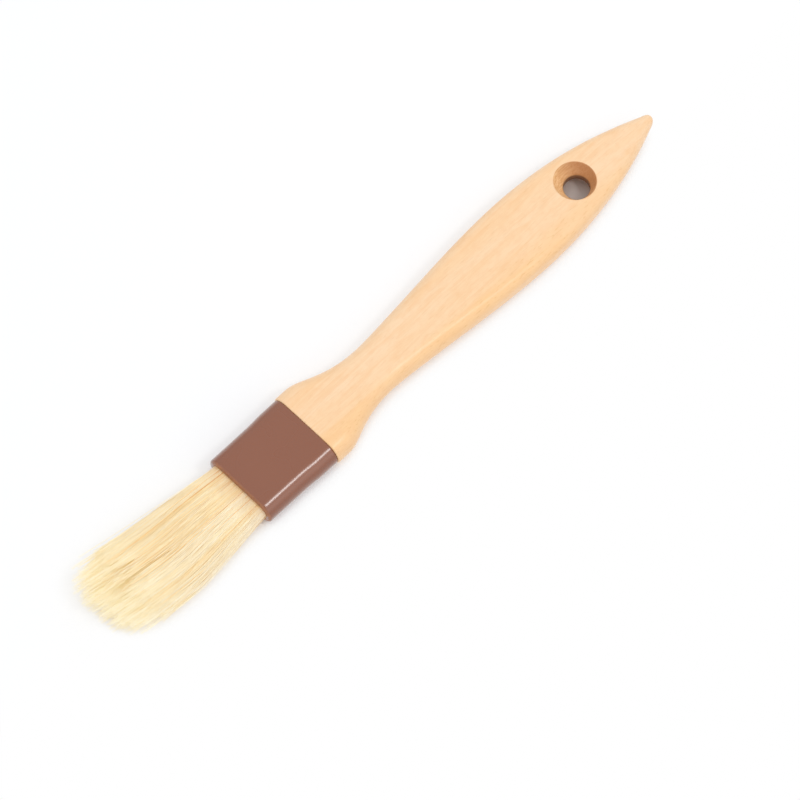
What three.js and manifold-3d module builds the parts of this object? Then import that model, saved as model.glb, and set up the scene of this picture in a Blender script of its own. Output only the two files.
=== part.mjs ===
// Flat pastry brush: a wooden handle, a moulded plastic ferrule and a domed pack of natural bristle.
//
// Millimetres, +Z up. The brush lies flat with its length along X: bristle tips towards -X, handle tip
// towards +X, width along Y. Every shape below is drawn from the ferrule's mouth, at x = 0, and about the
// brush's middle plane, at z = 0. The group at the end moves them all so that the origin is under the
// middle of the brush, on the surface that it lies on.

import * as THREE from "three";
import { mergeGeometries, mergeVertices } from "three/addons/utils/BufferGeometryUtils.js";
import Module from "manifold-3d";

const wasm = await Module();
wasm.setup();

// ---------------------------------------------------------------- driving dimensions

// Clearance between pieces that touch on the real brush.
const seatGap = 0.3;

// Ferrule: a sleeve with a flat top and underside and round sides. It widens a little from its mouth to
// its back end, and swells where the handle's tongue starts inside it.
const ferruleWidth = 26.8;
const ferruleThickness = 10.4;
const ferruleLength = 28;
const ferruleWall = 1.7;
const ferruleDraft = 0.06;
const tongueSwell = 0.14;
const swellLead = 0.5;
const swellLength = 6.5;
const mouthLip = 1.2;
const backLip = 0.5;

// Handle, along its length from the ferrule's back end to its tip.
const handleLength = 151;
const shoulderLand = 4.5;
const shoulderEase = 0.45;
const shoulderProud = 0.35;
const neckDistance = 29;
const neckWidth = 16.8;
const neckThickness = 9.4;
const bellyDistance = 93;
const bellyWidth = 25.4;
const bellyThickness = 10.4;
const bellyEdgeRadius = 3.4;
const tipRadius = 2;
const tipHalfAngle = 23;
const tipThickness = 4.6;
const noseBlunting = 0.45;

// The broad faces are slightly crowned behind the shoulder, to this radius across the handle.
const crownRadius = 100;

// The tongue of the handle that is set inside the ferrule.
const tenonLength = 12;
const tenonChamfer = 0.8;

// Hanging hole, from the handle's tip to the hole's centre. It is countersunk from both faces.
const holeDistance = 34.4;
const holeDiameter = 8.4;
const countersinkDiameter = 13.7;
const countersinkAngle = 72;

// Bristle pack.
const bristleOut = 57;
const domeRise = 10;
const domeLean = 0.15;
const fanFlare = 0.8;
const fanLean = 0.8;
const fanRoundness = 0.55;
const fanClearance = 0.3;
const fanReach = 27;
const strandPitch = 0.5;
const strandRadius = 0.22;
const strandMiddleRadius = 0.27;
const strandTipRadius = 0.12;
const strandShortening = 1.6;
const strandSwayShare = 0.48;
const tipDrawIn = 0.94;
const layerSway = 0.34;
const rootSway = 0.03;
const backingDepth = 4;
const backingFromMouth = 5;

// Filler strip between the two layers of bristle.
const fillerThickness = 1.2;
const fillerWidth = 19;
const fillerFromMouth = 1.5;
const fillerCornerRadius = 0.5;

// How finely round shapes are cut into flats.
const cornerSteps = 6;
const crownSteps = 4;
const holeSteps = 40;
const lipSteps = 4;
const swellSteps = 5;
const backSteps = 3;

// ---------------------------------------------------------------- places that follow from them

const shoulderX = ferruleLength + seatGap;
const handleTipX = ferruleLength + handleLength;
const neckX = ferruleLength + neckDistance;
const bellyX = ferruleLength + bellyDistance;
const holeX = handleTipX - holeDistance;
const tenonEndX = ferruleLength - tenonLength;
const swellStartX = tenonEndX - swellLead;
const backingEndX = backingFromMouth + backingDepth;

const totalLength = bristleOut + handleTipX;
const middleX = totalLength / 2 - bristleOut;
const undersideZ = -Math.max(ferruleThickness, bellyThickness) / 2;
const shoulderHalfWidth = ferruleWidth / 2 + ferruleDraft + tongueSwell + shoulderProud;

// The widest and thickest place of the bristle pack, a little past the ferrule's own width.
const fanHalfWidth = ferruleWidth / 2 + fanFlare;
const fanHalfThickness = ferruleThickness / 2 - fanClearance;

// The ferrule's bore, and what goes in it with clearance all round.
const boreHalfWidth = ferruleWidth / 2 - ferruleWall;
const boreHalfThickness = ferruleThickness / 2 - ferruleWall;
const coreHalfWidth = boreHalfWidth - seatGap;
const coreHalfThickness = boreHalfThickness - seatGap;

// ---------------------------------------------------------------- small tools

const mix = (from, to, share) => from + (to - from) * share;

// Rises smoothly from 0 at `from` to 1 at `to`.
function ease(from, to, value) {
  return THREE.MathUtils.smoothstep(value, from, to);
}

// The same scattered value between -1 and 1 for the same number.
function scatter(number) {
  const wave = Math.sin(number * 12.9898 + 4.1414) * 43758.5453;
  return 2 * (wave - Math.floor(wave)) - 1;
}

// A rectangle with round corners across the brush at x, anticlockwise as seen from the handle's tip.
// The radius stops just short of the half thickness, which leaves no point double. With a crown, given as
// one over its radius, the broad faces fall away from their middle, in `faceSteps` flats.
function roundedRing(x, halfWidth, halfThickness, radius, crown = 0, faceSteps = 1) {
  const widest = Math.min(radius, 0.98 * halfThickness, 0.98 * halfWidth);
  const edgeHeight = halfThickness - (halfWidth - widest) ** 2 * crown / 2;
  const round = Math.min(widest, 0.98 * edgeHeight);
  const flat = halfWidth - round;
  const edgeDrop = flat ** 2 * crown / 2;
  const points = [];
  for (let corner = 0; corner < 4; corner += 1) {
    const side = corner === 0 || corner === 3 ? 1 : -1;
    const level = corner < 2 ? 1 : -1;
    for (let step = 0; step <= cornerSteps; step += 1) {
      const angle = (corner + step / cornerSteps) * Math.PI / 2;
      const y = side * flat + round * Math.cos(angle);
      const z = level * (halfThickness - round - edgeDrop) + round * Math.sin(angle);
      points.push(new THREE.Vector3(x, y, z));
    }
    const overFace = corner === 0 || corner === 2;
    for (let step = 1; overFace && step < faceSteps; step += 1) {
      const y = side * flat * (1 - 2 * step / faceSteps);
      points.push(new THREE.Vector3(x, y, level * (halfThickness - y ** 2 * crown / 2)));
    }
  }
  return points;
}

// A skin over rings of equally many points. Open lofts run towards +X and get flat ends; closed ones
// come back to their first ring.
function loft(rings, closed = false) {
  const around = rings[0].length;
  const positions = rings.flat().flatMap((point) => point.toArray());
  const faces = [];
  const spans = closed ? rings.length : rings.length - 1;
  for (let span = 0; span < spans; span += 1) {
    const here = span * around;
    const there = ((span + 1) % rings.length) * around;
    for (let point = 0; point < around; point += 1) {
      const next = (point + 1) % around;
      faces.push(here + point, here + next, there + next);
      faces.push(here + point, there + next, there + point);
    }
  }
  if (!closed) {
    const last = (rings.length - 1) * around;
    for (let point = 1; point < around - 1; point += 1) {
      faces.push(0, point + 1, point);
      faces.push(last, last + point, last + point + 1);
    }
  }
  const geometry = new THREE.BufferGeometry();
  geometry.setAttribute("position", new THREE.Float32BufferAttribute(positions, 3));
  geometry.setIndex(faces);
  return geometry;
}

function toSolid(geometry) {
  const bare = geometry.clone();
  bare.deleteAttribute("normal");
  bare.deleteAttribute("uv");
  const merged = mergeVertices(bare, 1e-4);
  const index = merged.index.array;
  const corners = [];
  for (let face = 0; face < index.length; face += 3) {
    const [a, b, c] = index.slice(face, face + 3);
    if (a !== b && b !== c && c !== a) {
      corners.push(a, b, c);
    }
  }
  const vertProperties = new Float32Array(merged.attributes.position.array);
  const triVerts = new Uint32Array(corners);
  return new wasm.Manifold(new wasm.Mesh({ numProp: 3, vertProperties, triVerts }));
}

function toGeometry(solid) {
  const mesh = solid.getMesh();
  const geometry = new THREE.BufferGeometry();
  geometry.setAttribute("position", new THREE.BufferAttribute(mesh.vertProperties, 3));
  geometry.setIndex(new THREE.BufferAttribute(mesh.triVerts, 1));
  return geometry;
}

// A flat shape drawn in Y and Z, drawn out along X from `fromX` to `toX`.
function extrudeAlongBrush(shape, fromX, toX) {
  const settings = { depth: toX - fromX, bevelEnabled: false, curveSegments: cornerSteps };
  const geometry = new THREE.ExtrudeGeometry(shape, settings);
  const axes = new THREE.Matrix4().makeBasis(
    new THREE.Vector3(0, 1, 0),
    new THREE.Vector3(0, 0, 1),
    new THREE.Vector3(1, 0, 0),
  );
  geometry.applyMatrix4(axes);
  geometry.translate(fromX, 0, 0);
  return geometry;
}

// ---------------------------------------------------------------- handle

// The handle's outline as seen from above, as points of x and half width: a straight land behind the
// ferrule, a fall to the neck, a long swell to the belly, and a drawn-in end with a round tip.
function handleOutline() {
  const landEndX = shoulderX + shoulderLand;
  const fall = neckX - landEndX;
  const swell = bellyX - neckX;
  const slope = THREE.MathUtils.degToRad(tipHalfAngle);
  const tipCentreX = handleTipX - tipRadius;
  const drawnEnd = new THREE.Vector2(
    tipCentreX + tipRadius * Math.sin(slope),
    tipRadius * Math.cos(slope),
  );
  const draw = drawnEnd.x - bellyX;
  const pull = new THREE.Vector2(-Math.cos(slope), Math.sin(slope)).multiplyScalar(0.33 * draw);
  const land = new THREE.Vector2(landEndX, shoulderHalfWidth);
  const neck = new THREE.Vector2(neckX, neckWidth / 2);
  const belly = new THREE.Vector2(bellyX, bellyWidth / 2);
  const curves = [
    [12, land, new THREE.Vector2(landEndX + 0.22 * fall, shoulderHalfWidth),
      new THREE.Vector2(landEndX + 0.42 * fall, neckWidth / 2), neck],
    [13, neck, new THREE.Vector2(neckX + 0.14 * swell, neckWidth / 2),
      new THREE.Vector2(neckX + 0.64 * swell, bellyWidth / 2), belly],
    [15, belly, new THREE.Vector2(bellyX + 0.36 * draw, bellyWidth / 2),
      drawnEnd.clone().add(pull), drawnEnd],
  ];
  const points = [];
  for (const [steps, ...corners] of curves) {
    points.push(...new THREE.CubicBezierCurve(...corners).getPoints(steps).slice(1));
  }
  const noseSteps = 6;
  for (let step = 1; step <= noseSteps; step += 1) {
    const angle = mix(slope, 0.92 * Math.PI / 2, step / noseSteps);
    const x = tipCentreX + tipRadius * Math.sin(angle);
    points.push(new THREE.Vector2(x, tipRadius * Math.cos(angle)));
  }
  points[points.length - 1].x = handleTipX;
  return [land, ...points];
}

// Half thickness at x: full at the shoulder, a little thinner at the neck, full again at the belly, then
// drawn in ever faster to the tip and rounded over at the nose.
function handleHalfThickness(x) {
  const landEndX = shoulderX + shoulderLand;
  if (x < neckX) {
    return mix(ferruleThickness, neckThickness, ease(landEndX, neckX, x)) / 2;
  }
  if (x < bellyX) {
    return mix(neckThickness, bellyThickness, ease(neckX, bellyX, x)) / 2;
  }
  const share = (x - bellyX) / (handleTipX - bellyX);
  const noseShare = Math.max(0, x - (handleTipX - tipRadius)) / tipRadius;
  const nose = mix(noseBlunting, 1, Math.sqrt(1 - Math.min(1, noseShare) ** 2));
  return nose * mix(bellyThickness, tipThickness, share * share) / 2;
}

// The edges are fully round behind the ferrule and at the neck, and tighter over the belly.
function handleEdgeRadius(x) {
  const shoulderRadius = ferruleThickness / 2;
  return mix(shoulderRadius, bellyEdgeRadius, ease(neckX, bellyX, x));
}

function handleRing(x, halfWidth) {
  const crown = ease(shoulderX + shoulderLand, neckX, x) / crownRadius;
  return roundedRing(x, halfWidth, handleHalfThickness(x), handleEdgeRadius(x), crown, crownSteps);
}

// A section of the tongue or the shoulder, with level broad faces.
function levelRing(x, halfWidth, halfThickness, radius) {
  return roundedRing(x, halfWidth, halfThickness, radius, 0, crownSteps);
}

// Tongue, shoulder face and eased shoulder edge, up to the start of the outline.
function shoulderRings() {
  const halfThickness = ferruleThickness / 2;
  const small = tenonChamfer;
  const rings = [
    levelRing(tenonEndX, coreHalfWidth - small, coreHalfThickness - small, coreHalfThickness),
    levelRing(tenonEndX + small, coreHalfWidth, coreHalfThickness, coreHalfThickness),
    levelRing(shoulderX, coreHalfWidth, coreHalfThickness, coreHalfThickness),
  ];
  for (let step = 0; step <= 3; step += 1) {
    const angle = step / 3 * Math.PI / 2;
    const inset = shoulderEase * (1 - Math.sin(angle));
    const x = shoulderX + shoulderEase * (1 - Math.cos(angle));
    rings.push(levelRing(x, shoulderHalfWidth - inset, halfThickness - inset, halfThickness));
  }
  return rings;
}

// What the hanging hole takes out: a round bar with a cone at each end. A short straight bore is left
// between the cones; on a thin board they meet before they have narrowed to it.
function holeCutter() {
  const mouth = countersinkDiameter / 2;
  const spread = Math.tan(THREE.MathUtils.degToRad(countersinkAngle / 2));
  const face = handleHalfThickness(holeX);
  const clear = face + 2;
  const coneEnd = Math.max(0, face - (mouth - holeDiameter / 2) / spread);
  const waist = mouth - (face - coneEnd) * spread;
  const flare = mouth + (clear - face) * spread;
  const upperHalf = [[waist, coneEnd], [flare, clear], [0, clear]];
  const lowerHalf = upperHalf.map(([radius, height]) => [radius, -height]).reverse();
  const corners = [...lowerHalf, ...upperHalf].map(([radius, height]) => new THREE.Vector2(radius, height));
  const cutter = new THREE.LatheGeometry(corners, holeSteps);
  cutter.rotateX(Math.PI / 2);
  cutter.translate(holeX, 0, 0);
  return cutter;
}

function handle() {
  const rings = shoulderRings();
  for (const point of handleOutline()) {
    rings.push(handleRing(point.x, point.y));
  }
  const blank = toSolid(loft(rings));
  return toGeometry(blank.subtract(toSolid(holeCutter())));
}

// ---------------------------------------------------------------- ferrule

// How far the sleeve's outside stands proud of its nominal half width at x.
function sleeveSwell(x) {
  const taper = 2 * x / ferruleLength - 1;
  const swell = 2 * ease(swellStartX, swellStartX + swellLength, x) - 1;
  return ferruleDraft * taper + tongueSwell * swell;
}

// The sleeve's wall as a closed loop of rings: over the rounded mouth, back along the outside, over the
// back end and forward again through the bore.
function ferrule() {
  const section = [[mouthLip / 5, ferruleWall], [0, ferruleWall - mouthLip / 5]];
  for (let step = 0; step <= lipSteps; step += 1) {
    const angle = step / lipSteps * Math.PI / 2;
    section.push([mouthLip * (1 - Math.cos(angle)), mouthLip * (1 - Math.sin(angle))]);
  }
  for (let step = 0; step <= swellSteps; step += 1) {
    section.push([swellStartX + step / swellSteps * swellLength, 0]);
  }
  for (let step = 0; step <= backSteps; step += 1) {
    const angle = step / backSteps * Math.PI / 2;
    const x = ferruleLength - backLip * (1 - Math.sin(angle));
    section.push([x, backLip * (1 - Math.cos(angle))]);
  }
  section.push([ferruleLength, ferruleWall]);
  const rings = section.map(([x, depth]) => {
    const proud = depth < ferruleWall ? sleeveSwell(x) : 0;
    const halfWidth = ferruleWidth / 2 + proud - depth;
    const halfThickness = ferruleThickness / 2 - depth;
    return roundedRing(x, halfWidth, halfThickness, halfThickness);
  });
  return loft(rings, true);
}

// ---------------------------------------------------------------- setting resin and filler strip

function resinPlug() {
  const fromX = backingEndX + seatGap;
  const toX = tenonEndX - seatGap;
  return loft([
    roundedRing(fromX, coreHalfWidth, coreHalfThickness, coreHalfThickness),
    roundedRing(toX, coreHalfWidth, coreHalfThickness, coreHalfThickness),
  ]);
}

function fillerStrip() {
  const half = fillerThickness / 2;
  return loft([
    roundedRing(fillerFromMouth, fillerWidth / 2, half, fillerCornerRadius),
    roundedRing(backingEndX, fillerWidth / 2, half, fillerCornerRadius),
  ]);
}

// ---------------------------------------------------------------- bristle

// Half of the pack's backing as seen along the brush: level over the filler strip, round at both sides.
const backingFloor = fillerThickness / 2 + seatGap;
const coreFlatHalf = coreHalfWidth - coreHalfThickness;

function backingShape() {
  const rise = Math.asin(backingFloor / coreHalfThickness);
  const shape = new THREE.Shape();
  shape.absarc(coreFlatHalf, 0, coreHalfThickness, rise, Math.PI / 2, false);
  shape.absarc(-coreFlatHalf, 0, coreHalfThickness, Math.PI / 2, Math.PI - rise, false);
  shape.closePath();
  return shape;
}

// Where the strands of one layer are rooted: staggered rows that fill the backing's outline.
function strandRoots() {
  const margin = strandRadius + 2 * rootSway;
  const lowest = backingFloor + margin;
  const highest = coreHalfThickness - margin;
  const rowCount = Math.floor((highest - lowest) / strandPitch) + 1;
  const rowPitch = rowCount > 1 ? (highest - lowest) / (rowCount - 1) : 0;
  const roots = [];
  for (let row = 0; row < rowCount; row += 1) {
    const z = lowest + row * rowPitch;
    const roundHalf = Math.sqrt(coreHalfThickness ** 2 - z ** 2);
    const halfWidth = coreFlatHalf + roundHalf - margin;
    const columns = Math.floor(2 * halfWidth / strandPitch) + 1 - (row % 2);
    for (let column = 0; column < columns; column += 1) {
      const number = roots.length;
      const y = (column - (columns - 1) / 2) * strandPitch + rootSway * scatter(number + 900);
      const raised = z + rootSway * scatter(number + 1300);
      roots.push({ y, z: raised, height: rowCount > 1 ? row / (rowCount - 1) : 0 });
    }
  }
  return roots;
}

// How far the pack's domed end reaches from the mouth at a given share of its half width. The dome's
// highest place lies at the share `peak`, a little to one side of the middle.
function trimReach(share, peak) {
  const fromPeak = Math.min(1, Math.abs(share - peak) / (1 + Math.abs(peak)));
  return bristleOut - domeRise * (1 - Math.sqrt(1 - fromPeak ** 2));
}

// One bristle: three-sided, tapered, straight in the backing, spreading to the fan and easing in at the
// tip. Strands of a layer keep their order across and in height all the way, so none crosses another.
function strand(root, number, { spread, room, peak, lean }) {
  const fanY = root.y * spread;
  const lowestFan = 0.04 * fanHalfThickness + strandMiddleRadius;
  const highestFan = fanHalfThickness - strandMiddleRadius;
  const shareAcross = fanY / fanHalfWidth;
  const roundness = Math.sqrt(1 - fanRoundness * shareAcross ** 2);
  const fanZ = mix(lowestFan, highestFan * roundness, root.height);
  const inner = 1 - Math.abs(shareAcross);
  const sway = Math.min(1, 8 * inner) * strandSwayShare * room;
  const lift = root.height > 0 && root.height < 1 ? layerSway * scatter(number + 700) : 0;
  const shortening = number === 0 ? 0 : strandShortening * Math.abs(scatter(number + 0.5));
  const reach = trimReach(tipDrawIn * shareAcross, peak) - shortening;
  const stations = [
    [-reach, tipDrawIn * fanY + lean + sway * scatter(number), fanZ + lift, strandTipRadius],
    [-fanReach, fanY + sway * scatter(number + 300), fanZ + lift, strandMiddleRadius],
    [-0.5, root.y, root.z, strandRadius],
    [backingFromMouth + backingDepth / 2, root.y, root.z, strandRadius],
  ];
  const rings = stations.map(([x, y, z, radius]) => {
    const ring = [];
    for (let side = 0; side < 3; side += 1) {
      const angle = Math.PI / 2 + side * 2 * Math.PI / 3;
      ring.push(new THREE.Vector3(x, y + radius * Math.cos(angle), z + radius * Math.sin(angle)));
    }
    return ring;
  });
  return loft(rings);
}

// A layer of strands fused to its slice of set backing, above the filler strip. The strand nearest the
// dome's highest place comes first and keeps its full length. The whole pack leans to one side at its
// tips; `sideways` is 1 for that side and -1 for a layer that is turned over afterwards.
function bristleLayer(sideways) {
  const peak = sideways * domeLean;
  const lean = sideways * fanLean;
  const roots = strandRoots();
  const widestRoot = Math.max(...roots.map((root) => root.y));
  const fromPeak = (root) => Math.abs(root.y - peak * widestRoot);
  const peakFirst = [...roots].sort((a, b) => fromPeak(a) - fromPeak(b));
  const spread = (fanHalfWidth - strandMiddleRadius) / widestRoot;
  const room = (strandPitch - 2 * rootSway) * spread - Math.sqrt(3) * strandMiddleRadius;
  const strands = peakFirst.map((root, number) => strand(root, number, { spread, room, peak, lean }));
  const backing = extrudeAlongBrush(backingShape(), backingFromMouth, backingEndX);
  const layer = toSolid(mergeGeometries(strands)).add(toSolid(backing));
  console.log(`strands in a layer: ${strands.length}`);
  return toGeometry(layer);
}

// ---------------------------------------------------------------- assembly

function finish(color, roughness) {
  return new THREE.MeshStandardMaterial({ color, roughness, metalness: 0 });
}

function piece(name, geometry, material) {
  const mesh = new THREE.Mesh(geometry, material);
  mesh.name = name;
  return mesh;
}

const brush = new THREE.Group();
brush.position.set(-middleX, 0, -undersideZ);

// The lower layer is turned over, which swaps its sides.
const lowerLayer = piece("bristles_lower", bristleLayer(-1), finish(0xf6e3b8, 0.7));
lowerLayer.rotation.x = Math.PI;

brush.add(
  piece("handle", handle(), finish(0xf7cf9e, 0.42)),
  piece("ferrule", ferrule(), finish(0x8f5a49, 0.28)),
  piece("resin_plug", resinPlug(), finish(0xc8a05a, 0.35)),
  piece("filler_strip", fillerStrip(), finish(0xd9b88c, 0.7)),
  piece("bristles_upper", bristleLayer(1), finish(0xf6e3b8, 0.7)),
  lowerLayer,
);

export default brush;
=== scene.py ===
# %% [markdown]
# # A flat pastry brush
#
# The brush has a shaped wooden handle, a glossy moulded ferrule and a pack of pale natural bristle. Its
# pieces and their real places are loaded first and never moved. Everything below gives those pieces their
# fine surfaces and their finishes. All lengths are in metres, in the frame of the loaded pieces: +X runs
# from the bristle tips to the handle's tip, and +Z is up from the table.

# %% Load the pieces
import math

import bmesh
import bpy
import numpy as np
from mathutils import Matrix, Vector


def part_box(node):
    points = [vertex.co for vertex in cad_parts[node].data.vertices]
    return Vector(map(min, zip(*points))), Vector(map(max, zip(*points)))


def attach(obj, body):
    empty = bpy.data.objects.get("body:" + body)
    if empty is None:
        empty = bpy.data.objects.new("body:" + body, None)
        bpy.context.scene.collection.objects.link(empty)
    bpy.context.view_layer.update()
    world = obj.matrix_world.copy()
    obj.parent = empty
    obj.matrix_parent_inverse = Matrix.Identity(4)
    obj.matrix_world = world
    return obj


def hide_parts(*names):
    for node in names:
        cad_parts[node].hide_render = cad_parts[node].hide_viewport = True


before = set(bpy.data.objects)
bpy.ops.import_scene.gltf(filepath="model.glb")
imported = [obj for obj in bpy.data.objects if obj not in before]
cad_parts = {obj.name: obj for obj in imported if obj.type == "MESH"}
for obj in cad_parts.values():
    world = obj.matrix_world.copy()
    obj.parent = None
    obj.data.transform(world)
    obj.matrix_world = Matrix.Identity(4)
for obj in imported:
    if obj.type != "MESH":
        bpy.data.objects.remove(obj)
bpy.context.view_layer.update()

MM = 0.001
SCENE = bpy.context.scene


def add_object(name, data):
    made = bpy.data.objects.new(name, data)
    SCENE.collection.objects.link(made)
    return made


print("pieces:", ", ".join(sorted(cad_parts)))

# %% [markdown]
# ## The main places
#
# A surface that is to sit exactly where a real piece sits takes its place from that piece. Reading the
# boxes of the loaded pieces keeps a later change of size from leaving the looks behind. Only what a box
# can't tell, such as the roundness of an edge, is written here as a number.

# %% Places read from the pieces
ferrule_low, ferrule_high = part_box("ferrule")
handle_low, handle_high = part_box("handle")
bristle_low, bristle_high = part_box("bristles_upper")

MOUTH_X = ferrule_low.x
BACK_X = ferrule_high.x
TIP_X = handle_high.x
MIDDLE_Z = (ferrule_low.z + ferrule_high.z) / 2
FERRULE_HALF_THICKNESS = (ferrule_high.z - ferrule_low.z) / 2
BRISTLE_OUT = MOUTH_X - bristle_low.x
HOLE_FROM_TIP = 34.4 * MM
HOLE_X = TIP_X - HOLE_FROM_TIP
HOLE_RADIUS = 4.2 * MM
COUNTERSINK_RADIUS = 6.85 * MM
COUNTERSINK_HALF_ANGLE = math.radians(36)
print("mouth at %.1f mm, back end at %.1f mm" % (MOUTH_X / MM, BACK_X / MM))
print("bristle out %.1f mm" % (BRISTLE_OUT / MM))

# %% [markdown]
# ## The camera
#
# The photograph looks down on the brush at a steep angle, with a long lens that keeps its two ends at
# nearly one scale. The ferrule's corners, the rim of the hanging hole and the outline fix that view: a
# bearing, a height above the horizon, a distance, and one point of the table that the camera looks at.

# %% Camera
PHOTO_SIDE = 800
FOCAL_LENGTH_IN_PIXELS = 3952
SENSOR_MM = 36
BEARING = math.radians(-45.15)
HEIGHT = math.radians(65.61)
CAMERA_DISTANCE = 1.2
NEAREST_SEEN, FARTHEST_SEEN = 0.05, 50
LOOK_AT = Vector((-4.1, -11.01, 0)) * MM

towards_camera = Vector((
    math.sin(BEARING) * math.cos(HEIGHT),
    -math.cos(BEARING) * math.cos(HEIGHT),
    math.sin(HEIGHT),
))
camera_data = bpy.data.cameras.new("camera")
camera_data.sensor_width = SENSOR_MM
camera_data.lens = FOCAL_LENGTH_IN_PIXELS * SENSOR_MM / PHOTO_SIDE
camera_data.clip_start = NEAREST_SEEN
camera_data.clip_end = FARTHEST_SEEN
camera = add_object("camera", camera_data)
camera.location = LOOK_AT + towards_camera * CAMERA_DISTANCE
camera.rotation_euler = (-towards_camera).to_track_quat("-Z", "Y").to_euler()
SCENE.camera = camera
print("lens %.0f mm" % camera_data.lens)

# %% [markdown]
# ## One way to write node trees
#
# Materials and Geometry Nodes are both trees of nodes. Wiring them by hand hides the idea, so a small
# class stands for the output of a node and answers to the usual signs: `a * b + c` adds two Math nodes, and
# the reflected signs let a sum start with a number, as in `1 - a`. Any other node comes from `node`, which
# sets a new node's settings first, because they can change which sockets there are.

# %% Wire and Tree
def sign(operation):
    """What a sign does: a Math node of the values before and after it."""
    return lambda before, after: before.math(operation, after)


def reflected(operation):
    """The same when a number stands before the sign."""
    return lambda after, before: after.tree.sum(operation, before, after)


class Wire:
    """The output of a node, which can be used in sums."""

    def __init__(self, tree, socket):
        self.tree = tree
        self.socket = socket

    def math(self, operation, *others):
        return self.tree.sum(operation, self, *others)

    __add__, __radd__ = sign("ADD"), reflected("ADD")
    __sub__, __rsub__ = sign("SUBTRACT"), reflected("SUBTRACT")
    __mul__, __rmul__ = sign("MULTIPLY"), reflected("MULTIPLY")
    __truediv__, __rtruediv__ = sign("DIVIDE"), reflected("DIVIDE")
    __pow__, __rpow__ = sign("POWER"), reflected("POWER")


class Tree:
    """A tree of shader or geometry nodes."""

    def __init__(self, nodes):
        self.nodes = nodes
        self.nodes.nodes.clear()

    def node(self, kind, settings=None, sockets=None, output=0):
        made = self.nodes.nodes.new(kind)
        for name, value in (settings or {}).items():
            if name == "stops":
                set_stops(made.color_ramp, value)
            else:
                setattr(made, name, value)
        for name, value in (sockets or {}).items():
            self.feed(made.inputs[name], value)
        return Wire(self, made.outputs[output])

    def outputs(self, kind, sockets=None):
        """All the outputs of a new node, by name."""
        made = self.node(kind, None, sockets).socket.node
        return {socket.name: Wire(self, socket) for socket in made.outputs}

    def end(self, kind, result):
        """The tree's own output, and what it gives."""
        leave = self.nodes.nodes.new(kind)
        self.feed(leave.inputs[0], result)

    def feed(self, socket, value):
        if isinstance(value, Wire):
            self.nodes.links.new(value.socket, socket)
        else:
            socket.default_value = value

    def sum(self, operation, *values):
        return self.node("ShaderNodeMath", {"operation": operation}, dict(enumerate(values)))

    def mix(self, share, low, high):
        """A number between low and high."""
        return self.node("ShaderNodeMix", {"data_type": "FLOAT"}, {0: share, 2: low, 3: high})

    def ease(self, value, low, high, to_low=0.0, to_high=1.0):
        """Rises smoothly as value goes from low to high."""
        settings = {"interpolation_type": "SMOOTHSTEP"}
        sockets = {0: value, 1: low, 2: high, 3: to_low, 4: to_high}
        return self.node("ShaderNodeMapRange", settings, sockets)

    def split(self, vector):
        """The three numbers of a vector."""
        return list(self.outputs("ShaderNodeSeparateXYZ", {0: vector}).values())

    def join(self, x, y, z):
        return self.node("ShaderNodeCombineXYZ", None, {0: x, 1: y, 2: z})


def set_stops(ramp, stops):
    while len(ramp.elements) < len(stops):
        ramp.elements.new(1.0)
    for element, (place, colour) in zip(ramp.elements, stops):
        element.position = place
        element.color = (*colour, 1.0)


# %% [markdown]
# ## Materials
#
# Each material starts from the colour that the photograph shows under plain light, and then adds what the
# eye expects: streaks and pores along the grain of the wood, a coat of lacquer over it, the faint ripple of
# moulded plastic. The patterns read the object's own coordinates, or numbers that each hair carries, so
# they stay put when the camera moves.

# %% Material helpers
class Paint(Tree):
    """A material that ends in one Principled shader."""

    def __init__(self, name):
        self.material = bpy.data.materials.new(name)
        self.material.use_nodes = True
        super().__init__(self.material.node_tree)
        self.place = self.outputs("ShaderNodeTexCoord")["Object"]

    def stretched(self, along, across):
        """Object coordinates in pattern units, of one length along the brush and another across it."""
        scale = (1 / along, 1 / across, 1 / across)
        return self.node("ShaderNodeMapping", None, {"Vector": self.place, "Scale": scale})

    def noise(self, vector, detail=2.0, roughness=0.5, distortion=0.0):
        sockets = {"Vector": vector, "Scale": 1.0, "Detail": detail, "Roughness": roughness,
                   "Distortion": distortion}
        return self.node("ShaderNodeTexNoise", None, sockets)

    def colours(self, share, low, high, blend="MIX"):
        """A colour between low and high."""
        low = low if isinstance(low, Wire) else (*low, 1.0)
        high = high if isinstance(high, Wire) else (*high, 1.0)
        settings = {"data_type": "RGBA", "blend_type": blend}
        return self.node("ShaderNodeMix", settings, {0: share, 6: low, 7: high}, 2)

    def bump(self, height, distance, strength):
        sockets = {"Strength": strength, "Distance": distance, "Height": height}
        return self.node("ShaderNodeBump", None, sockets)

    def from_hole(self):
        """How far a point is from the axis of the hanging hole."""
        x, y, _ = self.split(self.place)
        return ((x - HOLE_X) ** 2.0 + y ** 2.0).math("SQRT")

    def finish(self, sockets):
        self.end("ShaderNodeOutputMaterial", self.node("ShaderNodeBsdfPrincipled", None, sockets))
        print("%s: %d nodes" % (self.material.name, len(self.nodes.nodes)))
        return self.material
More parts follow.
